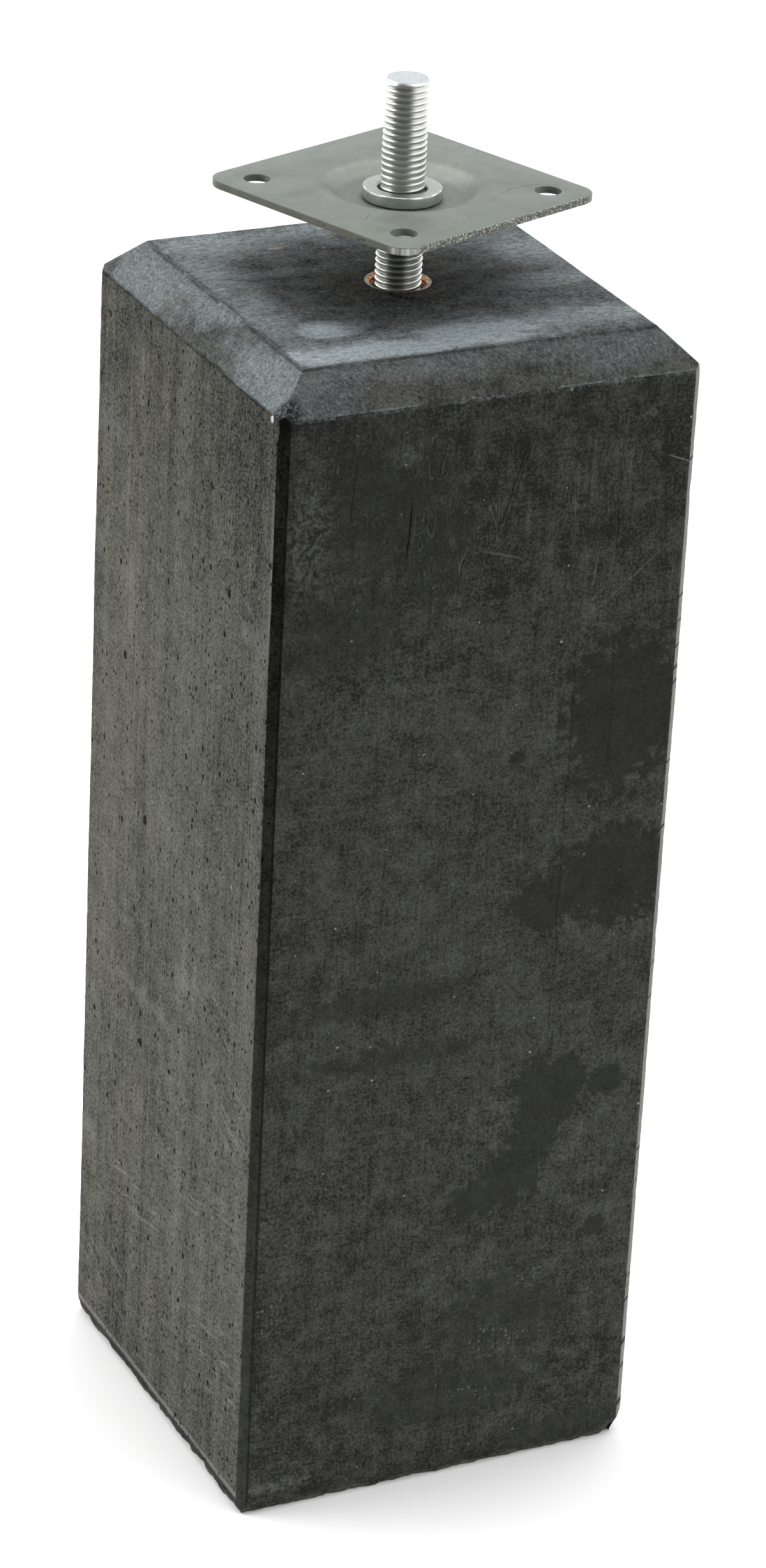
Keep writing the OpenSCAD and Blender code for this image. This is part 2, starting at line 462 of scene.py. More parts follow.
def dark_side():
    """The smooth anthracite side: cloudy, with damp blotches, hairline cracks and frosted marks."""
    look = Look("concrete_dark_side")
    place = (look.x, look.z)
    grain, fine = grain_of(look)
    clouds = look.cloud((34, 34, 22), detail=4, rough=0.7, shift=(9, 0, 5))
    folds = look.cloud((13, 13, 60), detail=2, rough=0.6, shift=(3, 3, 4), swirl=1.2)
    high_up = look.band(look.z, 392, 478, 14)
    ragged = look.sway(2.6, 6.5, detail=4, rough=0.75, shift=(2, 2, 8))
    damp = look.patches(place, DAMP_BLOTCHES, ragged, 0.12)
    drying = look.patches(place, DRYING_BLOTCHES, ragged, 0.12)
    murk = look.patches(place, MURKY_PATCHES, ragged * 1.4, 0.4)
    quiet = 1.0 + grain * 0.4
    cracks = upright_lines(look, CRACKS)
    clouded = look.step(clouds, 0.46, 0.56)
    veins = look.step(abs(folds - 0.5), 0.014, 0.002) * high_up * clouded
    ridge = look.step(abs(folds - 0.49), 0.016, 0.002) * high_up * clouded
    dust = look.step(look.cloud(2.2, detail=4, rough=0.9), 0.46, 0.58)
    burr = look.band(look.z + ragged * 0.9, SHOULDER - 1.4, SHOULDER + 1.5, 0.4)
    burr = burr * look.step(clouds, 0.40, 0.56)

    skin = dark_skin(look, grain, clouds, folds, high_up)
    skin = look.mix(skin, look.shade(DRYING_GREY, quiet), look.most(drying * 0.95, murk * 0.72))
    skin = look.mix(skin, look.shade(DAMP_GREY, quiet), damp * 0.88)
    skin = look.mix(skin, PIT_BLACK, look.most(cracks * 0.55, veins * 0.4))
    skin = look.mix(skin, PALE_SCUFF_AND_HIGHLIGHT, dark_rubs(look, ragged, dust, ridge))
    skin = look.mix(skin, LIME_BLOOM, burr * dust * 0.4)
    skin = look.mix(skin, WHITE_GRAIN, white_grains(look, ragged))
    height = fine * 0.12 - cracks * 0.1 - veins * 0.2 + ridge * 0.2
    return concrete(look, skin, 0.66 + fine * 0.2 - damp * 0.06, height)


def top_bloom(look, edge, brushed):
    """Dusty lime bloom on the top, thickest along the front."""
    place = (look.x, look.y)
    dust = look.cloud((4, 2, 4), detail=4, rough=0.9) + (brushed - 0.5) * 0.4
    dust = look.step(dust, 0.40, 0.62)
    return look.most(look.patches(place, TOP_BLOOM, edge, 0.7) * (0.30 + dust * 0.50),
                     look.patches(place, FRONT_BLOOM, edge, 0.8) * (0.74 + dust * 0.76))


def top_face():
    """Trowel marks that run along X, lime bloom near the rim, and a darker middle round the rod that is
    partly wear and partly painted shadow of the plate.
    """
    look = Look("concrete_top")
    x, y = look.x, look.y
    grain, fine = grain_of(look)
    trowel = look.cloud((34, 11, 30), detail=4, rough=0.75, shift=(1, 2, 0), tilt=(0, 0, -6), swirl=0.6)
    brushed = look.cloud((7, 1.0, 30), detail=2, rough=0.6, shift=(7, 2, 0), tilt=(0, 0, 5), swirl=0.4)
    edge = (trowel - 0.5) * 1.7 + look.sway(2.4, 11, detail=5, rough=0.8)
    # painted shadow of the plate over some wear: the middle, and a ring close round the rod
    painted_light_mask = look.patches((x, y), WORN_AND_SHADED_MIDDLE, edge, 0.9)
    shaded_ring = look.patches((x, y), SHADED_ROUND_THE_ROD, edge * 0.6, 0.4)
    tan_speck = look.patches((x, y), TAN_SPECK, edge * 0.5)
    pits = look.spots(x, y, spacing=9, radius=0.6, share=0.2, tall=1.0)
    seam = look.most(look.band(-y, RIM - 1.3, RIM - 0.5, 0.35), look.band(-x, RIM - 1.1, RIM - 0.3, 0.35))

    tone = 1.0 + grain + (trowel - 0.5) * 1.2 + (brushed - 0.5) * 0.9
    skin = look.shade(look.mix(BLUE_GREY, BROWN_GREY, look.step(trowel, 0.56, 0.42) * 0.5), tone)
    skin = look.mix(skin, look.shade(LIME_BLOOM, 0.45 + fine * 1.1), top_bloom(look, edge, brushed))
    # the middle and the ring round the rod darkened: wear with painted shadow of the plate
    skin = look.mix(skin, look.shade(BROWN_GREY, 0.66 + grain), painted_light_mask * 0.75)
    skin = look.mix(skin, look.shade(BROWN_GREY, 0.55 + grain), shaded_ring * 0.7)
    skin = look.mix(skin, SPECK_TAN, tan_speck * 0.6)
    skin = look.mix(skin, PIT_BLACK, look.most(pits * 0.7, seam * look.step(trowel, 0.36, 0.5) * 0.45))
    height = fine * 0.10 + brushed * 0.10 - pits * 0.5 - seam * 0.2
    return concrete(look, skin, 0.70 + fine * 0.2, height)


def slope_pits(look, edge, fine):
    """Pits of two sizes on the slopes, and the broken corner."""
    along = look.x + look.y
    small = look.spots(along, look.z, spacing=4, radius=0.5, share=0.14, tall=0.7)
    large = look.spots(along, look.z + 90, spacing=13, radius=0.9, share=0.3, tall=0.7)
    corner = look.patches((look.x, look.y), BROKEN_CORNER, edge * 0.5, 0.3)
    return look.most(look.most(small, large * 0.8) * 0.6, corner * look.step(fine, 0.44, 0.56))


def sloping_rim():
    """The bevelled rim: bloomed at its ends on the pale slope, and along the top of the dark one."""
    look = Look("concrete_rim")
    y, z = look.y, look.z
    grain, fine = grain_of(look, 0.85)
    facing = look.parts(look.add("ShaderNodeNewGeometry").outputs["Normal"])
    dark_slope = look.step(-facing[1], 0.45, 0.62)
    pale_slope = look.step(-facing[0], 0.45, 0.62)
    broad = look.cloud(30, detail=4, rough=0.65)
    scratches = look.cloud((0.7, 6, 0.7), detail=3, rough=0.7, tilt=(20, 0, 35))
    edge = (broad - 0.5) * 2.5 + look.sway(2.0, 8, detail=4, rough=0.75)
    pale_bloom = look.patches((y, z), PALE_SLOPE_BLOOM, edge, 0.6) * pale_slope
    dark_bloom = look.patches((look.x, z), DARK_SLOPE_BLOOM, edge, 0.6) * dark_slope
    dust = look.cloud(2.2, detail=4, rough=0.9) + (scratches - 0.5) * 0.7
    dust = 0.35 + look.step(dust, 0.42, 0.62) * 0.65
    upper = look.step(z, TOP - 4.0, TOP - 1.2) * 0.5 + look.band(z, TOP - 1.5, TOP - 0.6, 0.3)
    upper = upper * look.step(broad, 0.36, 0.5)
    # along the slopes' lower arris: painted shade on the pale slope, dust bloom on the dark one
    lower = look.band(z + edge * 0.5, SHOULDER - 1, SHOULDER + 0.3, 0.25)
    lower = lower * look.step(broad + fine * 0.4, 0.62, 0.74)
    pits = slope_pits(look, edge, fine)

    tone = look.most(1.0 + grain + (scratches - 0.5) * 1.6 + (broad - 0.5) * 1.6, 0.45)
    bloom = (pale_bloom * 1.28 + dark_bloom * 0.36) * dust
    skin = look.shade(look.mix(SLOPE_GREY, BROWN_GREY, dark_slope), tone)
    skin = look.mix(skin, look.shade(LIME_BLOOM, 0.45 + fine * 1.1), bloom)
    skin = look.mix(skin, look.shade(BLUE_GREY, tone), look.most(pale_bloom, dark_bloom * 0.6) * 0.4)
    # pits, a darker upper edge, and painted shade along the pale slope's lower arris
    skin = look.mix(skin, PIT_BLACK, look.most(pits * 0.85, upper * 0.40, lower * pale_slope * 0.6))
    skin = look.mix(skin, LIME_BLOOM, lower * dark_slope * dust * 0.55)
    return concrete(look, skin, 0.70 + fine * 0.2, fine * 0.14 - pits * 0.6)


def corner_strip():
    """The narrow upright corner between the two seen sides: near black high up, greyer at the foot."""
    look = Look("concrete_corner")
    x, z = look.x, look.z
    grain, fine = grain_of(look, 0.9)
    streaks = look.sway(0.6, (3, 3, 60), detail=3, rough=0.6)
    tone = 0.42 + grain * 0.7 + look.step(z, 420, 60) * 0.75 + streaks
    strip_end = -HALF + CORNER_CHAMFER
    seam = look.step(x, strip_end - 1.0, strip_end - 0.2)
    pits = look.most(look.spots(x, z, spacing=3, radius=0.5, share=0.3),
                     look.spots(x, z + 200, spacing=8, radius=0.9, share=0.4))
    pits = look.most(pits, look.step(z + grain * 6, SHOULDER - 11, SHOULDER - 4) * 0.8)
    skin = look.shade(DAMP_GREY, look.most(tone * 1.4, 0.15))
    skin = look.mix(skin, PIT_BLACK, look.most(pits * 0.9, seam * 0.55))
    return concrete(look, skin, 0.75 + fine * 0.2, fine * 0.14 - pits * 0.6)


def plain_side():
    """The two far sides, the other corners and the underside: the same casting, with less to see."""
    look = Look("concrete_plain_side")
    along = look.x - look.y
    grain, fine = grain_of(look, 0.85)
    broad = look.cloud((40, 40, 60), detail=4, rough=0.65)
    streaks = look.sway(0.8, (2.4, 2.4, 120), detail=3, rough=0.65)
    tone = 1.0 + grain + (broad - 0.5) * 1.6 + streaks
    right_corner = 2 * HALF - CORNER_CHAMFER
    rubbed = look.step(along, right_corner - 1.6, right_corner - 0.4)
    holes = look.most(look.spots(along, look.z, spacing=4, radius=0.6, share=0.3),
                      look.spots(along, look.z, spacing=11, radius=1.0, share=0.4))
    skin = look.mix(PALE_GREY, DARK_GREY, 0.25 + look.step(broad, 0.40, 0.60) * 0.45)
    skin = look.mix(look.shade(skin, tone), RUBBED_GREY, rubbed * (0.4 + fine * 0.5))
    skin = look.mix(skin, PIT_BLACK, holes * 0.85)
    return concrete(look, skin, 0.74 + fine * 0.2, fine * 0.14 - holes * 0.7)


# ---------------------------------------------------------------- metal finishes
BRIGHT_ZINC = (0.80, 0.815, 0.79)
FLAT_THREAD_ROOT = (0.56, 0.565, 0.52)
# dirt with painted shade, for the deep thread roots under the plate
DIRTY_SHADED_THREAD_ROOT = (0.17, 0.175, 0.155)
SAWN_END = (0.47, 0.495, 0.51)
PLATE_ZINC = (0.143, 0.164, 0.141)
SHEARED_ZINC = (0.10, 0.105, 0.082)
TORN_ZINC = (0.20, 0.212, 0.18)
# painted highlight on the plate's rounded front corner
CORNER_GLINT_ZINC = (0.80, 0.82, 0.76)
STAINED_ZINC = (0.10, 0.112, 0.096)
SCRATCHED_ZINC = (0.05, 0.05, 0.045)
# painted highlight and painted shade for the plate's dish
DISH_HIGHLIGHT_ZINC = (0.34, 0.36, 0.33)
DISH_SHADE_ZINC = (0.075, 0.085, 0.072)
COLLAR_FACE = (0.29, 0.312, 0.285)
# the collar's upright side, painted lighter than its top face as lit
LIT_COLLAR_SIDE = (0.50, 0.53, 0.50)
# rubbed collar edges, brightened further as a painted highlight
RUBBED_GLINT_ZINC = (0.85, 0.87, 0.83)
COPPER_GLINT = (0.72, 0.30, 0.11)
BROWN_FILM = (0.16, 0.10, 0.06)
CREAM_RIM = (0.22, 0.19, 0.14)
CREAM_FLECK = (0.50, 0.46, 0.36)
# painted shade inside the socket's bore
BORE_SHADE_BLACK = (0.02, 0.015, 0.01)

EDGE_SPECKS = [((-33, 538.2), (1.3, 0.5)), ((-30.6, 537.7), (0.8, 0.7)), ((-12, 538), (0.4, 0.4))]
PLATE_STAINS = [((-34, 18), (14, 3)), ((-6, 40), (9, 4)), ((30, 36), (12, 4)), ((44, -14), (4, 7)),
                ((-30, -34), (7, 9))]


def from_axis(look, x, y):
    """How far a place is from the rod's axis."""
    return look.math("SQRT", x ** 2 + y ** 2)


def plated_rod():
    """Bright zinc, darker in the thread's roots, with a sawn upper end. Under the plate the deep roots
    are darkened by dirt and by painted shade.
    """
    look = Look("rod_zinc")
    film = look.cloud(3.0, detail=3, rough=0.6)
    fine = look.cloud(0.6, detail=2, rough=0.6)
    away = from_axis(look, look.x, look.y)
    under = look.step(look.z, PLATE_TOP - 8, PLATE_TOP - 12)
    # under the plate: dirt and painted shade in the full thread's deep roots
    deep_root_dirt_and_shade = look.step(away, CREST_LOW - 0.35, CREST_LOW - DEPTH_LOW + 0.3) * under
    flat_root = look.step(away, CREST_HIGH - 0.08, CREST_HIGH - DEPTH_HIGH + 0.05) * (1 - under)
    end = look.step(look.z, rod_high.z - 0.3, rod_high.z - 0.05)
    colour = look.mix(BRIGHT_ZINC, FLAT_THREAD_ROOT, flat_root * (0.75 + film * 0.35))
    colour = look.mix(colour, DIRTY_SHADED_THREAD_ROOT, deep_root_dirt_and_shade * 0.9)
    colour = look.mix(colour, SAWN_END, end)
    colour = look.shade(colour, 0.84 + film * 0.2 + end * (fine - 0.5) * 0.9)
    return look.finish(colour, 0.27 + film * 0.12 + end * 0.25, fine * 0.015, metallic=1.0)


def plate_marks(look, own_x, own_y, smear):
    """The plate's dark marks: a curved scratch, grazes, dots, and specks on one edge."""
    on_edge = look.step(own_x, -PLATE_HALF + 0.6, -PLATE_HALF + 0.2)
    ragged = look.sway(1.2, 0.9, detail=2, rough=0.6)
    specks = look.patches((own_y, look.z), EDGE_SPECKS, ragged, 0.2) * on_edge
    off = abs(own_y + 30 + look.sway(6, 14, detail=2, rough=0.5) + (own_x - 30) ** 2 * 0.02)
    scratch = look.step(off, 0.5, 0.1) * look.band(own_x, 22, 44, 3)
    grazes = look.cloud((16, 0.9, 9), detail=2, rough=0.6, shift=(4, 1, 0), tilt=(0, 0, 52), swirl=0.5)
    grazes = look.step(grazes, 0.64, 0.70) * look.step(smear, 0.46, 0.56)
    dots = look.spots(own_x, own_y, spacing=12, radius=0.4, share=0.2, tall=1.0)
    return look.most(scratch * 0.7, grazes * 0.65, dots * 0.8, specks)


def dish_shades(look, colour, own_x, own_y, film):
    """Painted light on the dish: a painted highlight on one wall, painted shade on the other, and a
    painted shadow round the collar's foot.
    """
    away = from_axis(look, own_x, own_y)
    # painted highlight on the dish's lit wall
    painted_light_mask = look.band(away, DISH_R1 + 3, DISH_R2 - 1.5, 1.8) * look.step(own_x * 0.8 + own_y, -6, 24)
    # painted shade on the dish's other wall, and a painted shadow where the collar stands on the plate
    dish_shade_mask = look.band(away, DISH_R1 + 1, DISH_R2 - 1, 2.0)
    dish_shade_mask = dish_shade_mask * look.step(own_x * 0.9 + own_y * 0.3, 4, -20)
    dish_shade_mask = look.most(dish_shade_mask * 0.6, look.band(away, COLLAR_R - 1, COLLAR_R + 1.0, 0.8))
    colour = look.mix(colour, DISH_HIGHLIGHT_ZINC, painted_light_mask * (0.3 + film * 0.5))
    return look.mix(colour, DISH_SHADE_ZINC, dish_shade_mask * 0.45)


def sheet_zinc():
    """Dull zinc, smeared by handling, with one torn edge and the others sheared."""
    look = Look("plate_zinc")
    cos, sin = math.cos(PLATE_TURN), math.sin(PLATE_TURN)
    own_x, own_y = look.x * cos + look.y * sin, look.y * cos - look.x * sin
    smear = look.cloud((30, 10, 30), detail=3, rough=0.6, tilt=(0, 0, 40), swirl=1.2)
    film = look.cloud(6, detail=4, rough=0.6)
    speck = look.cloud(0.8, detail=2, rough=0.8)
    torn = look.step(own_y, -PLATE_HALF + 0.9, -PLATE_HALF + 0.5)
    sheared = look.step(look.most(abs(own_x), own_y), PLATE_HALF - 0.5, PLATE_HALF - 0.2)
    corner_end = PLATE_CORNER_R - 2 * PLATE_HALF
    rounded = look.step(own_x + own_y, corner_end, corner_end - 3)
    # painted highlight: upright streaks of glint on the rounded front corner's wall
    glint_bars = look.step(look.cloud((1.2, 1.2, 40), detail=2, rough=0.6), 0.40, 0.60)
    wall = look.step(look.z, PLATE_TOP - 0.15, PLATE_TOP - 0.5)
    stains = look.patches((own_x, own_y), PLATE_STAINS, look.sway(3, 7, detail=4, rough=0.75), 0.5)

    tone = 0.93 + (smear - 0.5) * 0.48 + (film - 0.5) * 0.34 + (speck - 0.5) * 0.12
    glint = 0.42 + look.step(speck, 0.50, 0.64) * 2.2
    colour = look.shade(PLATE_ZINC, tone)
    colour = look.mix(colour, look.shade(SHEARED_ZINC, 0.6 + film * 0.8), sheared * 0.85)
    colour = look.mix(colour, look.shade(TORN_ZINC, glint), torn)
    # painted glint on the rounded front corner
    colour = look.mix(colour, CORNER_GLINT_ZINC, rounded * wall * (0.3 + glint_bars * 0.7))
    colour = look.mix(colour, STAINED_ZINC, stains * 0.45)
    colour = look.mix(colour, SCRATCHED_ZINC, plate_marks(look, own_x, own_y, smear))
    colour = dish_shades(look, colour, own_x, own_y, film)
    roughness = 0.50 + smear * 0.12 - torn * 0.15 - rounded * 0.2
    return look.finish(colour, roughness, film * 0.03 + torn * speck * 0.7, metallic=0.15, specular=0.35)


def turned_zinc():
    """Brighter zinc on the nut. The collar's upright side is painted lighter than its top, as lit, and
    its two edges are rubbed bright with a painted highlight.
    """
    look = Look("nut_zinc")
    film = look.cloud(4, detail=4, rough=0.65)
    ring = look.cloud((60, 60, 0.5), detail=1, rough=0.5)
    away = from_axis(look, look.x, look.y)
    collar_top, collar_foot = nut_high.z, nut_high.z - COLLAR_T
    # the collar's two edges: rubbed, and brightened further as a painted highlight
    edges = look.most(look.band(look.z, collar_top - 0.75, collar_top + 1, 0.15),
                      look.band(look.z, collar_foot - 1, collar_foot + 0.6, 0.15))
    rubbed = edges * look.step(away, COLLAR_R - 0.7, COLLAR_R - 0.3) * look.step(film, 0.44, 0.54)
    # painted light: the collar's upright side is made lighter than its top face
    side = look.step(away, COLLAR_R - 0.6, COLLAR_R - 0.2)
    side = side * look.step(look.z, collar_top - 0.1, collar_top - 0.6)
    colour = look.shade(look.mix(COLLAR_FACE, LIT_COLLAR_SIDE, side), 0.75 + film * 0.45)
    colour = look.mix(colour, RUBBED_GLINT_ZINC, rubbed * 0.5)
    roughness = 0.32 + film * 0.14 - rubbed * 0.15
    return look.finish(colour, roughness, film * 0.04 + ring * 0.03, metallic=0.95)


def yellow_plating():
    """Yellow-passivated socket: cream on the rubbed rim, copper in the mouth, and painted shade deep in
    the bore.
    """
    look = Look("socket_plating")
    film = look.cloud(2.2, detail=3, rough=0.65)
    fine = look.cloud(0.9, detail=2, rough=0.6)
    away = from_axis(look, look.x, look.y)
    deep = look.step(look.z, TOP - 1.2, TOP - 3.4)
    rim = look.step(away, SOCKET_R - MOUTH_RIM - 0.25, SOCKET_R - MOUTH_RIM + 0.1)
    colour = look.mix(COPPER_GLINT, BROWN_FILM, look.step(film, 0.46, 0.58))
    colour = look.mix(colour, CREAM_RIM, rim * 0.9)
    colour = look.mix(colour, CREAM_FLECK, rim * look.step(fine, 0.46, 0.62) * 0.7)
    # painted shade: the bore below the mouth is made near black
    colour = look.mix(colour, BORE_SHADE_BLACK, deep * 0.95)
    return look.finish(colour, 0.34 + film * 0.25, fine * 0.12 + film * 0.1, metallic=0.75)


# ---------------------------------------------------------------- mesh tools
SAME_PLACE = 0.01                 # points closer than this count as one
TURNED_STEPS = 96                 # sides of a turned piece, and of the ring that meets it


def cut(bm, point, normal, clear=False):
    """Cuts by a plane. With clear, the normal's side is taken off and the hole is closed."""
    done = bmesh.ops.bisect_plane(bm, geom=[*bm.verts, *bm.edges, *bm.faces], dist=1e-4,
                                  plane_co=point, plane_no=normal, clear_outer=clear)
    if clear:
        bmesh.ops.edgeloop_fill(bm, edges=only(bmesh.types.BMEdge, done["geom_cut"]))


def soften(bm, edges, width, segments=2):
    """Rounds edges off."""
    bmesh.ops.bevel(bm, geom=edges, offset=width, offset_type="OFFSET", segments=segments,
                    profile=0.5, affect="EDGES", clamp_overlap=True, material=-1)


def sharp_edges(bm, degrees):
    return [edge for edge in bm.edges if edge.calc_face_angle(0.0) > math.radians(degrees)]


def slice_between(bm, axis, low, high, width):
    """Divides every edge that runs along an axis from low to high into lengths of about a width."""
    def spans(edge):
        a, b = sorted((v.co for v in edge.verts), key=lambda co: co[axis])
        return abs(a[axis] - low) < SAME_PLACE and abs(b[axis] - high) < SAME_PLACE

    edges = [edge for edge in bm.edges if spans(edge)]
    bmesh.ops.subdivide_edges(bm, edges=edges, cuts=round((high - low) / width) - 1)


def lathe(bm, profile, steps=TURNED_STEPS, rise=0.0, closed=False):
    """Spins a line of (radius, height) points once round Z, and lifts it by rise on the way."""
    verts = [bm.verts.new((r, 0, z)) for r, z in profile]
    edges = [bm.edges.new(pair) for pair in zip(verts, verts[1:] + verts[:1] * closed)]
    bmesh.ops.spin(bm, geom=[*verts, *edges], cent=(0, 0, 0), axis=(0, 0, 1), angle=math.tau,
                   dvec=(0, 0, rise / steps), steps=steps, use_merge=not rise)


def only(kind, parts):
    """The vertices or the edges among what an operator made."""
    return [part for part in parts if isinstance(part, kind)]


def lift(bm, verts, height):
    bmesh.ops.translate(bm, vec=(0, 0, height), verts=verts)


def scale_reach(vert, times):
    """Moves a vertex to or from the rod's axis."""
    vert.co.x *= times
    vert.co.y *= times


def lump(at, size, seed=0.0):
    """Soft noise from about -1 to 1, with lumps of a size."""
    return noise.noise(at / size + Vector((seed, -seed, seed * 1.7)))


def smooth(value, low, high):
    """0 at low, 1 at high and smooth between them."""
    t = min(1.0, max(0.0, (value - low) / (high - low)))
    return t * t * (3 - 2 * t)


def placed(name, data):
    """A new object in the scene, with a mesh, a lamp or a camera for its data."""
    made = bpy.data.objects.new(name, data)
    bpy.context.scene.collection.objects.link(made)
    return made


def mesh_of(name, bm, *materials):
    mesh = bpy.data.meshes.new(name)
    bm.to_mesh(mesh)
    bm.free()
    for material in materials:
        mesh.materials.append(material)
    return mesh


def piece(name, bm, body, materials, replaced, crease):
    """Makes a finished mesh a piece that rides on a body and stands for a CAD node."""
    bmesh.ops.recalc_face_normals(bm, faces=bm.faces)
    bmesh.ops.scale(bm, vec=(MM, MM, MM), verts=bm.verts)
    mesh = mesh_of(name, bm, *materials)
    mesh.shade_smooth()
    mesh.set_sharp_from_angle(angle=math.radians(crease))
    made = placed(name, mesh)
    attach(made, body)
    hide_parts(replaced)


# ---------------------------------------------------------------- concrete block
BLOCK_FINISHES = [pale_side, dark_side, top_face, sloping_rim, corner_strip, plain_side]


def block_shape(bm):
    """The plain casting: its chamfered top and corners, and the narrow batter at its foot."""
    bmesh.ops.create_cube(bm, size=1)
    bmesh.ops.scale(bm, vec=(2 * HALF, 2 * HALF, TOP), verts=bm.verts)
    lift(bm, bm.verts, TOP / 2)
    for quarter in range(4):
        turn = Matrix.Rotation(quarter * math.pi / 2, 3, "Z")
        cut(bm, turn @ Vector((HALF, 0, SHOULDER)), turn @ Vector((1, 0, 1)), clear=True)
        cut(bm, turn @ Vector((HALF, 0, FOOT_H)), turn @ Vector((FOOT_H, 0, -FOOT_W)), clear=True)
        cut(bm, turn @ Vector((HALF, HALF - CORNER_CHAMFER, 0)), turn @ Vector((1, 1, 0)), clear=True)
    soften(bm, sharp_edges(bm, degrees=6), ARRIS_ROUND)


def block_grid(bm):
    """A close mesh over the whole block, so that its arrises can be ragged."""
    flat = RIM - 3                    # the part of the top that is away from the rim
    for axis in (0, 1):
        normal = [0, 0, 0]
        normal[axis] = 1
        at = flat
        while at < HALF - CORNER_CHAMFER:
            for sign in (-1, 1):
                cut(bm, [sign * at * n for n in normal], normal)
            at += GRID
        slice_between(bm, axis, -flat, flat, GRID)
    low, high = FOOT_H + 2, SHOULDER - 2
    foot_rows = (2, 4, 5.5)
    for at in (*foot_rows, low, high):
        cut(bm, (0, 0, at), (0, 0, 1))
    slice_between(bm, 2, low, high, GRID_UP)


def socket_hole(bm):
    """Swaps a square of the top's grid for a ring that leads into a blind hole."""
    reach = 8 * GRID

    def inside(face):
        at = face.calc_center_median()
        return face.normal.z > 0.9 and at.z > TOP - 1 and max(abs(at.x), abs(at.y)) < reach

    bmesh.ops.delete(bm, geom=[face for face in bm.faces if inside(face)], context="FACES")
    square = [edge for edge in bm.edges if edge.is_boundary]
    ring = bmesh.ops.create_circle(bm, segments=len(square), radius=SOCKET_R,
                                   matrix=Matrix.Translation((0, 0, TOP)))["verts"]
    rim = list({edge for vert in ring for edge in vert.link_edges})
    bmesh.ops.bridge_loops(bm, edges=[*square, *rim])
    made = bmesh.ops.extrude_edge_only(bm, edges=rim)["geom"]
    lift(bm, only(bmesh.types.BMVert, made), socket_low.z - TOP)
    bmesh.ops.edgeloop_fill(bm, edges=only(bmesh.types.BMEdge, made))


SHOULDER_WEAR, RIM_WEAR, UPRIGHT_WEAR = 0.9, 0.3, 0.45
CRUMBLE = 0.35                    # depth of the fine wear along an arris
CHIP = 3.0                        # how steeply the few chips deepen
WAVE = 0.34                       # mean depth of the skin under the plain block
WAVES = [(60, 0, 0.24), (19, 3, 0.12), (5, 5, 0.05)]      # (size, seed, depth)


def arris_wear(p):
    """How deep the concrete is broken away at a place, from its nearness to the arrises."""
    reach = max(abs(p.x), abs(p.y))
    corner = HALF - CORNER_CHAMFER
    shoulder = 1 - smooth(abs(p.z - SHOULDER), 0.4, 3.0)
    rim = (1 - smooth(abs(reach - RIM), 0.3, 3.0)) * smooth(p.z, TOP - 4, TOP - 2)
    upright = 1 - smooth(abs(min(abs(p.x), abs(p.y)) - corner), 0.3, 2.2)
    upright *= smooth(reach, corner - 3, corner)
    broken = CRUMBLE * (0.5 + lump(p, 4.5, 4)) + max(0.0, lump(p, 13, 9) - 0.42) * CHIP
    return max(0.0, broken) * (shoulder * SHOULDER_WEAR + rim * RIM_WEAR + upright * UPRIGHT_WEAR)


def hollow(p, centre, depth, full, none):
    """How deep a hollow is at a place: its full depth near its centre, and none farther out."""
    return depth * (1 - smooth((p - Vector(centre)).length, full, none))


def broken_spots(p):
    """The hollow at the top of the front corner, and the blunt foot of the right-hand one."""
    chip = hollow(p, (-HALF + 1.5, -HALF + 2.5, SHOULDER - 5), depth=1.3, full=1.0, none=6.5)
    toe = hollow(p, (HALF, -HALF, -1), depth=3.2, full=1.5, none=12)
    return chip + toe


def skin_depth(p, away):
    """How far the skin lies under the plain block at a place."""
    wave = sum((depth * lump(p, size, seed) for size, seed, depth in WAVES), WAVE)
    return (wave + arris_wear(p) + broken_spots(p)) * smooth(away, SOCKET_R, SOCKET_R + 9)


def ragged_foot(p):
    """How far the foot's burrs stand out at a place."""
    return (1 - smooth(p.z, 1.5, FOOT_H + 2)) * (1.2 * lump(p, 8, 6) + 0.9 * lump(p, 3.1, 7))


def weather_block(bm):
    """Pushes the skin in and out inside the plain block, but not the underside or the socket."""
    bm.normal_update()
    moves = []
    for vert in bm.verts:
        p, n = vert.co.copy(), vert.normal.copy()
        away = math.hypot(p.x, p.y)
        underside = p.z < SAME_PLACE and max(abs(p.x), abs(p.y)) < HALF - 8
        if underside or away < SOCKET_R + 0.5:
            continue
        if p.z < FOOT_H + 2:
            n.z = 0
            n = n.normalized() if n.length > SAME_PLACE else Vector((p.x, p.y, 0)).normalized()
        moves.append((vert, p - n * (skin_depth(p, away) - ragged_foot(p))))
    edge = HALF - 0.02
    for vert, to in moves:
        x, y = (max(-edge, min(edge, value)) for value in to.xy)
        vert.co = (x, y, max(0.0, min(TOP, to.z)))


def face_finish(face):
    """Which of the block's finishes a face has, told by the way it looks."""
    n, z = face.normal, face.calc_center_median().z
    upright = z > 2
    if z > SHOULDER and n.z > 0.3:
        return top_face if n.z > 0.85 else sloping_rim
    if upright and n.x < -0.9:
        return pale_side
    if upright and n.y < -0.9:
        return dark_side
    if upright and n.x + n.y < -1.1:
        return corner_strip
    return plain_side


def make_block():
    bm = bmesh.new()
    block_shape(bm)
    block_grid(bm)
    bm.normal_update()
    for face in bm.faces:
        face.material_index = BLOCK_FINISHES.index(face_finish(face))
    socket_hole(bm)
    weather_block(bm)
    finishes = [finish() for finish in BLOCK_FINISHES]
    piece("cast_block", bm, "base", finishes, "concrete_block", crease=40)


# ---------------------------------------------------------------- rod and socket
THREAD_FOOT = rod_low.z - 2 * PITCH   # below the rod's end, where the cut takes it off
MOUTH_RIDGE = 0.55                # how far the first turns stand out in the socket's mouth
MOUTH_RAGGED = 0.035              # how uneven the mouth is, as a share of its radius


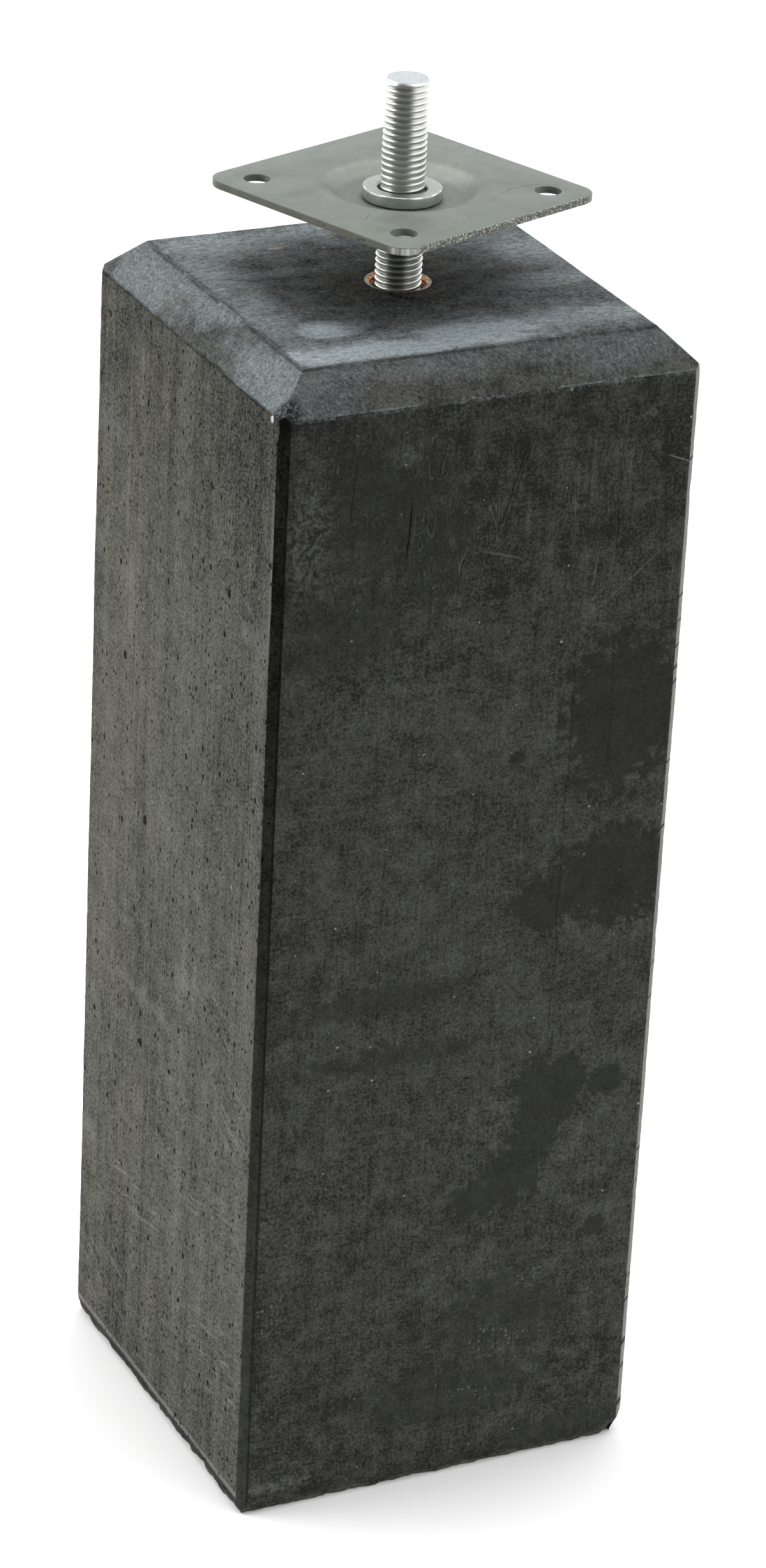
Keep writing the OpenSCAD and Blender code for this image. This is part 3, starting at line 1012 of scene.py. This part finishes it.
def full_thread(bm):
    """One pitch of the thread's section is lifted as it is spun, and the turn is repeated upwards."""
    points = 10
    profile = []
    for i in range(points + 1):
        root = 0.5 - 0.5 * math.cos(math.tau * i / points)
        profile.append((CREST_LOW - DEPTH_LOW * root ** 1.25, THREAD_FOOT + PITCH * i / points))
    lathe(bm, profile, steps=56, rise=PITCH)
    one_turn = [*bm.verts, *bm.edges, *bm.faces]
    turns = math.ceil((rod_high.z - THREAD_FOOT) / PITCH) + 1
    for turn in range(1, turns):
        copy = bmesh.ops.duplicate(bm, geom=one_turn)["geom"]
        lift(bm, only(bmesh.types.BMVert, copy), PITCH * turn)
    bmesh.ops.remove_doubles(bm, verts=bm.verts, dist=SAME_PLACE)


def rod_reach(away, z):
    """How far from the axis a place on the full thread comes to lie."""
    sunk = max(0.0, (CREST_LOW - away) / DEPTH_LOW) ** 0.8
    flattened = CREST_HIGH - DEPTH_HIGH * (1 - (1 - min(1.0, sunk)) ** 3)
    reach = away + (flattened - away) * smooth(z, nut_high.z - 5, nut_high.z - 1)
    return min(reach, ROD_END_R + min(rod_high.z - z, z - rod_low.z) * 0.8)


def make_rod(material):
    """The full thread is cut off flat at both ends, flattened above the nut and chamfered."""
    bm = bmesh.new()
    full_thread(bm)
    cut(bm, (0, 0, rod_high.z), (0, 0, 1), clear=True)
    cut(bm, (0, 0, rod_low.z), (0, 0, -1), clear=True)
    for vert in bm.verts:
        away = math.hypot(vert.co.x, vert.co.y)
        if away > 1:
            scale_reach(vert, rod_reach(away, vert.co.z) / away)
    piece("rolled_thread", bm, "base", [material], "threaded_rod", crease=50)


def make_socket(material):
    """A blind sleeve. Its countersunk mouth shows the first turns of its own thread."""
    bm = bmesh.new()
    mouth_r = SOCKET_R - MOUTH_RIM
    profile = [(0, rod_low.z), (BORE_R, rod_low.z)]
    points = 16
    for i in range(points + 1):
        t = i / points
        ridge = MOUTH_RIDGE * math.sin(math.tau * t * MOUTH_DEPTH / PITCH) * math.sin(math.pi * t)
        profile.append((BORE_R + (mouth_r - BORE_R) * t - ridge, TOP - MOUTH_DEPTH * (1 - t)))
    profile += [(SOCKET_R, TOP), (SOCKET_R, socket_low.z), (0, socket_low.z)]
    lathe(bm, profile)
    bmesh.ops.remove_doubles(bm, verts=bm.verts, dist=SAME_PLACE)
    for vert in bm.verts:
        away = math.hypot(vert.co.x, vert.co.y)
        if BORE_R + 0.1 < away < mouth_r - 0.1 and vert.co.z > TOP - MOUTH_DEPTH:
            scale_reach(vert, 1 - MOUTH_RAGGED * max(0.0, lump(vert.co, 2.4, 3) + 0.2))
    piece("socket_sleeve", bm, "base", [material], "threaded_socket", crease=45)


# ---------------------------------------------------------------- nut and plate
def make_nut(material):
    """One turned piece whose lower part is drawn out to a hexagon."""
    bm = bmesh.new()
    low, high = nut_low.z, nut_high.z
    seat = low + HEX_H
    profile = [(BORE_R, low), (HEX_FLAT, low)]
    profile += [(HEX_FLAT, low + up) for up in (0.4, 0.8, 1.2, 1.8)]
    profile += [(HEX_FLAT, seat), (NECK_R, seat), (NECK_R, high - COLLAR_T),
                (COLLAR_R, high - COLLAR_T), (COLLAR_R, high), (BORE_R + 1, high), (BORE_R, high - 1)]
    lathe(bm, profile, closed=True)
    sixth = math.pi / 3
    for vert in bm.verts:
        x, y, z = vert.co
        away = math.hypot(x, y)
        if z < seat + SAME_PLACE and abs(away - HEX_FLAT) < SAME_PLACE:
            reach = HEX_FLAT / math.cos(math.atan2(y, x) % sixth - sixth / 2)
            scale_reach(vert, min(reach, HEX_FLAT + 0.8 + (z - low)) / away)
    collar = [edge for edge in sharp_edges(bm, 40) if min(v.co.z for v in edge.verts) > seat + 1]
    soften(bm, collar, COLLAR_ROUND, segments=3)
    piece("collar_nut", bm, "nut", [material], "height_nut", crease=35)


def plate_sheet(bm):
    """The upper skin of the plate: a square with round corners, four holes and a pressed dish."""
    bmesh.ops.create_grid(bm, x_segments=1, y_segments=1, size=PLATE_HALF)
    bmesh.ops.bevel(bm, geom=bm.verts, offset=PLATE_CORNER_R, offset_type="OFFSET", segments=14,
                    profile=0.5, affect="VERTICES", material=-1)
    bmesh.ops.delete(bm, geom=bm.faces, context="FACES_ONLY")
    long_edges = [edge for edge in bm.edges if edge.calc_length() > 20]
    bmesh.ops.subdivide_edges(bm, edges=long_edges, cuts=round(2 * (PLATE_HALF - PLATE_CORNER_R)))
    for x in (-HOLE_AT, HOLE_AT):
        for y in (-HOLE_AT, HOLE_AT):
            bmesh.ops.create_circle(bm, segments=48, radius=HOLE_R,
                                    matrix=Matrix.Translation((x, y, 0)))
    bmesh.ops.create_circle(bm, segments=TURNED_STEPS, radius=DISH_R2)
    bmesh.ops.triangle_fill(bm, use_beauty=True, use_dissolve=False, edges=bm.edges,
                            normal=(0, 0, 1))
    points = 16
    profile = [(NECK_R + TURN_GAP, -DISH_DEPTH)]
    for i in range(points + 1):
        rise = (1 - math.cos(math.pi * i / points)) / 2
        profile.append((DISH_R1 + (DISH_R2 - DISH_R1) * i / points, -DISH_DEPTH * (1 - rise)))
    lathe(bm, profile)
    bmesh.ops.remove_doubles(bm, verts=bm.verts, dist=0.02)


def outer_wall(edge):
    """Whether an edge runs down the plate's outer wall."""
    a, b = (vert.co for vert in edge.verts)
    reach_x, reach_y = max(abs(a.x), abs(b.x)), max(abs(a.y), abs(b.y))
    upright = abs(a.z - b.z) > 1 and edge.calc_length() < PLATE_T
    outside = reach_x + reach_y > PLATE_HALF - 1
    return upright and outside and max(reach_x, reach_y) > PLATE_HALF - PLATE_CORNER_R - 1


def make_plate(material):
    """The skin is given its thickness, and its torn edge is roughened."""
    bm = bmesh.new()
    plate_sheet(bm)
    made = bmesh.ops.extrude_face_region(bm, geom=bm.faces)["geom"]
    lift(bm, only(bmesh.types.BMVert, made), -PLATE_T)
    bmesh.ops.recalc_face_normals(bm, faces=bm.faces)
    soften(bm, sharp_edges(bm, 60), SHEET_ROUND)
    bmesh.ops.subdivide_edges(bm, edges=[edge for edge in bm.edges if outer_wall(edge)], cuts=4)
    for vert in bm.verts:
        if vert.co.y < -PLATE_HALF + 0.9 and abs(vert.co.x) < PLATE_HALF - 5:
            vert.co.y += TEAR_DEPTH * (0.5 + 0.5 * lump(vert.co, 1.3, 2))
    bmesh.ops.rotate(bm, cent=(0, 0, 0), matrix=Matrix.Rotation(PLATE_TURN, 3, "Z"), verts=bm.verts)
    lift(bm, bm.verts, PLATE_TOP)
    piece("pressed_plate", bm, "plate", [material], "post_plate", crease=35)


# ---------------------------------------------------------------- studio, in metres
HEADING = math.radians(26.58)     # the way the camera looks, from +Y towards +X
FLOOR_HALF = 14.0
FLOOR_FRONT = 0.36                # how far the floor comes towards the camera
FLOOR_DROP = 0.0002               # keeps the floor just clear of the block's underside
PAPER_WHITE = 0.95
AIR_LIGHT = 1.38                  # light from all round, before it is shaded
SIDE_LIGHT, LEFT_LIGHT, SKY_LIGHT = 0.30, 0.16, 0.75
CAMERA_SHADE = 0.93               # how much of the light is held back behind the camera
PALE_BACKDROP = 1.4


def softbox(name, at, aim, width, height, watts):
    lamp = bpy.data.lights.new(name, "AREA")
    lamp.shape, lamp.size, lamp.size_y = "RECTANGLE", width, height
    lamp.energy = watts
    box = placed(name, lamp)
    box.location = at
    box.rotation_euler = (Vector(aim) - Vector(at)).to_track_quat("-Z", "Y").to_euler()


def paper_floor():
    """A wide sheet of matt paper, most of it beyond the block."""
    bm = bmesh.new()
    bmesh.ops.create_grid(bm, x_segments=1, y_segments=1, size=FLOOR_HALF)
    bmesh.ops.translate(bm, vec=(0, FLOOR_HALF - FLOOR_FRONT, 0), verts=bm.verts)
    bmesh.ops.rotate(bm, cent=(0, 0, 0), matrix=Matrix.Rotation(-HEADING, 3, "Z"), verts=bm.verts)
    paper = bpy.data.materials.new("studio_paper")
    paper.use_nodes = True
    surface = paper.node_tree.nodes["Principled BSDF"]
    surface.inputs["Base Color"].default_value = (PAPER_WHITE, PAPER_WHITE, PAPER_WHITE, 1)
    surface.inputs["Roughness"].default_value = 1.0
    surface.inputs["Specular IOR Level"].default_value = 0.0
    floor = placed("studio_floor", mesh_of("studio_floor", bm, paper))
    floor.location.z = -FLOOR_DROP


def studio_air():
    """Soft light from all round, with a shade behind the camera. The backdrop itself is pale."""
    world = bpy.data.worlds.new("studio_air")
    world.use_nodes = True
    sky = Nodes(world.node_tree)
    x, y, z = sky.parts(sky.add("ShaderNodeTexCoord").outputs["Generated"])
    to_camera = x * -math.sin(HEADING) + y * -math.cos(HEADING)
    to_left = x * -math.cos(HEADING) + y * math.sin(HEADING)
    light = AIR_LIGHT + abs(to_left) * SIDE_LIGHT + to_left * LEFT_LIGHT
    light = light + sky.step(z, 0.35, 0.9) * SKY_LIGHT
    shade = sky.step(to_camera * 0.92 + to_left * 0.39, 0.26, 0.66)
    light = light * (1 - shade * CAMERA_SHADE)
    looked_at = Num(sky, sky.add("ShaderNodeLightPath").outputs["Is Camera Ray"])
    light = sky.most(light, looked_at * PALE_BACKDROP)
    air = sky.add("ShaderNodeBackground", None, {"Color": (1, 1, 1, 1), "Strength": light})
    sky.add("ShaderNodeOutputWorld", None, {0: air.outputs[0]})
    bpy.context.scene.world = world


def studio():
    paper_floor()
    studio_air()
    softbox("key_left", at=(-2.3, 0.7, 1.6), aim=(0, 0, TOP * MM * 0.6), width=1.4, height=1.8, watts=26)


LOOK_DOWN = math.radians(25.52)
ROLL = math.radians(2.90)
AIM = Vector((0.0037, -0.0019, 0.2814))
CAMERA_AWAY = 2.0826
LENS, SENSOR = 116.5, 36
FARTHEST_SEEN = 60


def camera():
    """A long lens, looking down at the front corner, with a slight roll."""
    level = math.cos(LOOK_DOWN)
    forward = Vector((math.sin(HEADING) * level, math.cos(HEADING) * level, -math.sin(LOOK_DOWN)))
    eye = bpy.data.cameras.new("camera")
    eye.lens, eye.sensor_width, eye.clip_end = LENS, SENSOR, FARTHEST_SEEN
    stand = placed("camera", eye)
    upright = forward.to_track_quat("-Z", "Y").to_matrix()
    stand.rotation_euler = (upright @ Matrix.Rotation(ROLL, 3, "Z")).to_euler()
    stand.location = AIM - forward * CAMERA_AWAY
    bpy.context.scene.camera = stand


camera()
studio()
make_block()
make_socket(yellow_plating())
make_rod(plated_rod())
make_nut(turned_zinc())
make_plate(sheet_zinc())
bpy.context.scene.view_settings.view_transform = "Standard"
